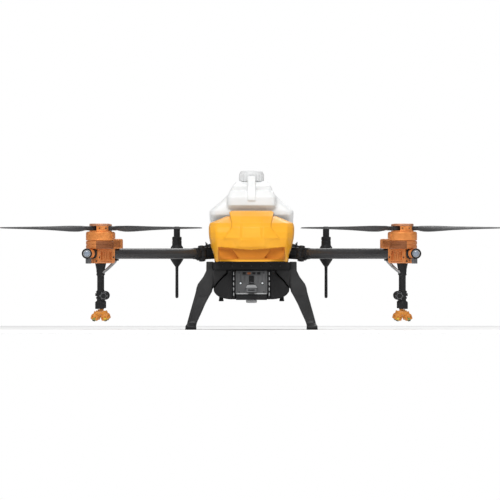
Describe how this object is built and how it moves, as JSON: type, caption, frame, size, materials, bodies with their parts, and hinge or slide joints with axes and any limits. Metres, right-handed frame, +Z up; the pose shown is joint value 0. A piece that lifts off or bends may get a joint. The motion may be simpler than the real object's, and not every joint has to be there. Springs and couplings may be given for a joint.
{
  "type": "agricultural spray drone",
  "caption": "Folding quadcopter sprayer: orange hood over a lift-out white tank, plug-in battery, carbon arms with folding rotors, and a twin nozzle below each motor.",
  "frame": {"origin": "ground level under the middle of the drone", "axes": "+Z up, -Y towards the front hood and battery, +X towards the right-hand arms seen from the front"},
  "size_m": [1.902, 1.2898, 0.6],
  "materials": {
    "orange_plastic": "smooth moulded orange",
    "orange_metal": "anodised orange",
    "tank_white": "blow-moulded white",
    "black_plastic": "fine-grained black",
    "black_frame": "black composite",
    "carbon_tube": "woven carbon tube",
    "blade_black": "carbon-filled nylon",
    "grey_plastic": "grey moulded",
    "bolt_steel": "zinc-plated",
    "leg_black": "moulded black"
  },
  "bodies": {
    "airframe": {"chassis_frame": "black_frame", "belly_shell": "black_plastic", "front_hood": "orange_plastic", "rear_cover": "orange_plastic", "battery_tray": "black_frame", "ground_radar": "grey_plastic", "spray_pump": "grey_plastic", "flight_controller": "grey_plastic", "leg_front_right": "leg_black", "leg_front_left": "leg_black", "leg_rear_right": "leg_black", "leg_rear_left": "leg_black", "fold_bolt_front_right": "bolt_steel", "fold_bolt_front_left": "bolt_steel", "fold_bolt_rear_right": "bolt_steel", "fold_bolt_rear_left": "bolt_steel"},
    "arm_front_right": {"arm_root_front_right": "black_frame", "arm_tube_front_right": "carbon_tube", "motor_mount_front_right": "orange_metal", "nav_lamp_front_right": "grey_plastic", "drop_pipe_front_right": "black_plastic", "nozzle_head_front_right": "orange_plastic"},
    "rotor_front_right": {"rotor_bell_front_right": "orange_metal"},
    "blade_a_front_right": {"blade_a_front_right": "blade_black"},
    "blade_b_front_right": {"blade_b_front_right": "blade_black"},
    "arm_front_left": {"arm_root_front_left": "black_frame", "arm_tube_front_left": "carbon_tube", "motor_mount_front_left": "orange_metal", "nav_lamp_front_left": "grey_plastic", "drop_pipe_front_left": "black_plastic", "nozzle_head_front_left": "orange_plastic"},
    "rotor_front_left": {"rotor_bell_front_left": "orange_metal"},
    "blade_a_front_left": {"blade_a_front_left": "blade_black"},
    "blade_b_front_left": {"blade_b_front_left": "blade_black"},
    "arm_rear_right": {"arm_root_rear_right": "black_frame", "arm_tube_rear_right": "carbon_tube", "motor_mount_rear_right": "orange_metal", "nav_lamp_rear_right": "grey_plastic", "drop_pipe_rear_right": "black_plastic", "nozzle_head_rear_right": "orange_plastic", "antenna_unit_rear_right": "black_plastic"},
    "rotor_rear_right": {"rotor_bell_rear_right": "orange_metal"},
    "blade_a_rear_right": {"blade_a_rear_right": "blade_black"},
    "blade_b_rear_right": {"blade_b_rear_right": "blade_black"},
    "arm_rear_left": {"arm_root_rear_left": "black_frame", "arm_tube_rear_left": "carbon_tube", "motor_mount_rear_left": "orange_metal", "nav_lamp_rear_left": "grey_plastic", "drop_pipe_rear_left": "black_plastic", "nozzle_head_rear_left": "orange_plastic", "antenna_unit_rear_left": "black_plastic"},
    "rotor_rear_left": {"rotor_bell_rear_left": "orange_metal"},
    "blade_a_rear_left": {"blade_a_rear_left": "blade_black"},
    "blade_b_rear_left": {"blade_b_rear_left": "blade_black"},
    "tank": {"spray_tank": "tank_white", "tank_filter": "grey_plastic"},
    "cap": {"tank_cap": "tank_white"},
    "battery_pack": {"battery": "grey_plastic"},
    "latch": {"battery_latch": "bolt_steel"}
  },
  "joints": [
    {"name": "fold_front_right", "type": "hinge", "parent": "airframe", "child": "arm_front_right", "pos_m": [0.188, -0.188, 0.2865], "axis": [0.0296, -0.0296, 0.9991], "range_deg": [0, 110]},
    {"name": "spin_front_right", "type": "hinge", "parent": "arm_front_right", "child": "rotor_front_right", "pos_m": [0.5685, -0.5685, 0.36], "axis": [0, 0, 1], "continuous": true},
    {"name": "blade_fold_a_front_right", "type": "hinge", "parent": "rotor_front_right", "child": "blade_a_front_right", "pos_m": [0.5925, -0.5685, 0.3815], "axis": [0, 0, 1], "range_deg": [0, 78]},
    {"name": "blade_fold_b_front_right", "type": "hinge", "parent": "rotor_front_right", "child": "blade_b_front_right", "pos_m": [0.5445, -0.5685, 0.3815], "axis": [0, 0, -1], "range_deg": [0, 78]},
    {"name": "fold_front_left", "type": "hinge", "parent": "airframe", "child": "arm_front_left", "pos_m": [-0.188, -0.188, 0.2865], "axis": [0.0296, 0.0296, -0.9991], "range_deg": [0, 110]},
    {"name": "spin_front_left", "type": "hinge", "parent": "arm_front_left", "child": "rotor_front_left", "pos_m": [-0.5685, -0.5685, 0.36], "axis": [0, 0, 1], "continuous": true},
    {"name": "blade_fold_a_front_left", "type": "hinge", "parent": "rotor_front_left", "child": "blade_a_front_left", "pos_m": [-0.5925, -0.5685, 0.3815], "axis": [0, 0, -1], "range_deg": [0, 78]},
    {"name": "blade_fold_b_front_left", "type": "hinge", "parent": "rotor_front_left", "child": "blade_b_front_left", "pos_m": [-0.5445, -0.5685, 0.3815], "axis": [0, 0, 1], "range_deg": [0, 78]},
    {"name": "fold_rear_right", "type": "hinge", "parent": "airframe", "child": "arm_rear_right", "pos_m": [0.188, 0.188, 0.2865], "axis": [-0.1591, -0.1591, -0.9744], "range_deg": [0, 110]},
    {"name": "spin_rear_right", "type": "hinge", "parent": "arm_rear_right", "child": "rotor_rear_right", "pos_m": [0.5685, 0.5685, 0.36], "axis": [0, 0, 1], "continuous": true},
    {"name": "blade_fold_a_rear_right", "type": "hinge", "parent": "rotor_rear_right", "child": "blade_a_rear_right", "pos_m": [0.5925, 0.5685, 0.3815], "axis": [0, 0, -1], "range_deg": [0, 78]},
    {"name": "blade_fold_b_rear_right", "type": "hinge", "parent": "rotor_rear_right", "child": "blade_b_rear_right", "pos_m": [0.5445, 0.5685, 0.3815], "axis": [0, 0, 1], "range_deg": [0, 78]},
    {"name": "fold_rear_left", "type": "hinge", "parent": "airframe", "child": "arm_rear_left", "pos_m": [-0.188, 0.188, 0.2865], "axis": [-0.1591, 0.1591, 0.9744], "range_deg": [0, 110]},
    {"name": "spin_rear_left", "type": "hinge", "parent": "arm_rear_left", "child": "rotor_rear_left", "pos_m": [-0.5685, 0.5685, 0.36], "axis": [0, 0, 1], "continuous": true},
    {"name": "blade_fold_a_rear_left", "type": "hinge", "parent": "rotor_rear_left", "child": "blade_a_rear_left", "pos_m": [-0.5925, 0.5685, 0.3815], "axis": [0, 0, 1], "range_deg": [0, 78]},
    {"name": "blade_fold_b_rear_left", "type": "hinge", "parent": "rotor_rear_left", "child": "blade_b_rear_left", "pos_m": [-0.5445, 0.5685, 0.3815], "axis": [0, 0, -1], "range_deg": [0, 78]},
    {"name": "tank_lift", "type": "slide", "parent": "airframe", "child": "tank", "axis": [0, 0, 1], "range_m": [0, 0.22]},
    {"name": "cap_turn", "type": "hinge", "parent": "tank", "child": "cap", "pos_m": [0, -0.009, 0.57], "axis": [0, 0, 1], "range_deg": [0, 90]},
    {"name": "battery_slide", "type": "slide", "parent": "airframe", "child": "battery_pack", "axis": [0, -1, 0], "range_m": [0, 0.23]},
    {"name": "latch_lift", "type": "hinge", "parent": "battery_pack", "child": "latch", "pos_m": [0, -0.208, 0.1795], "axis": [1, 0, 0], "range_deg": [0, 60]}
  ]
}
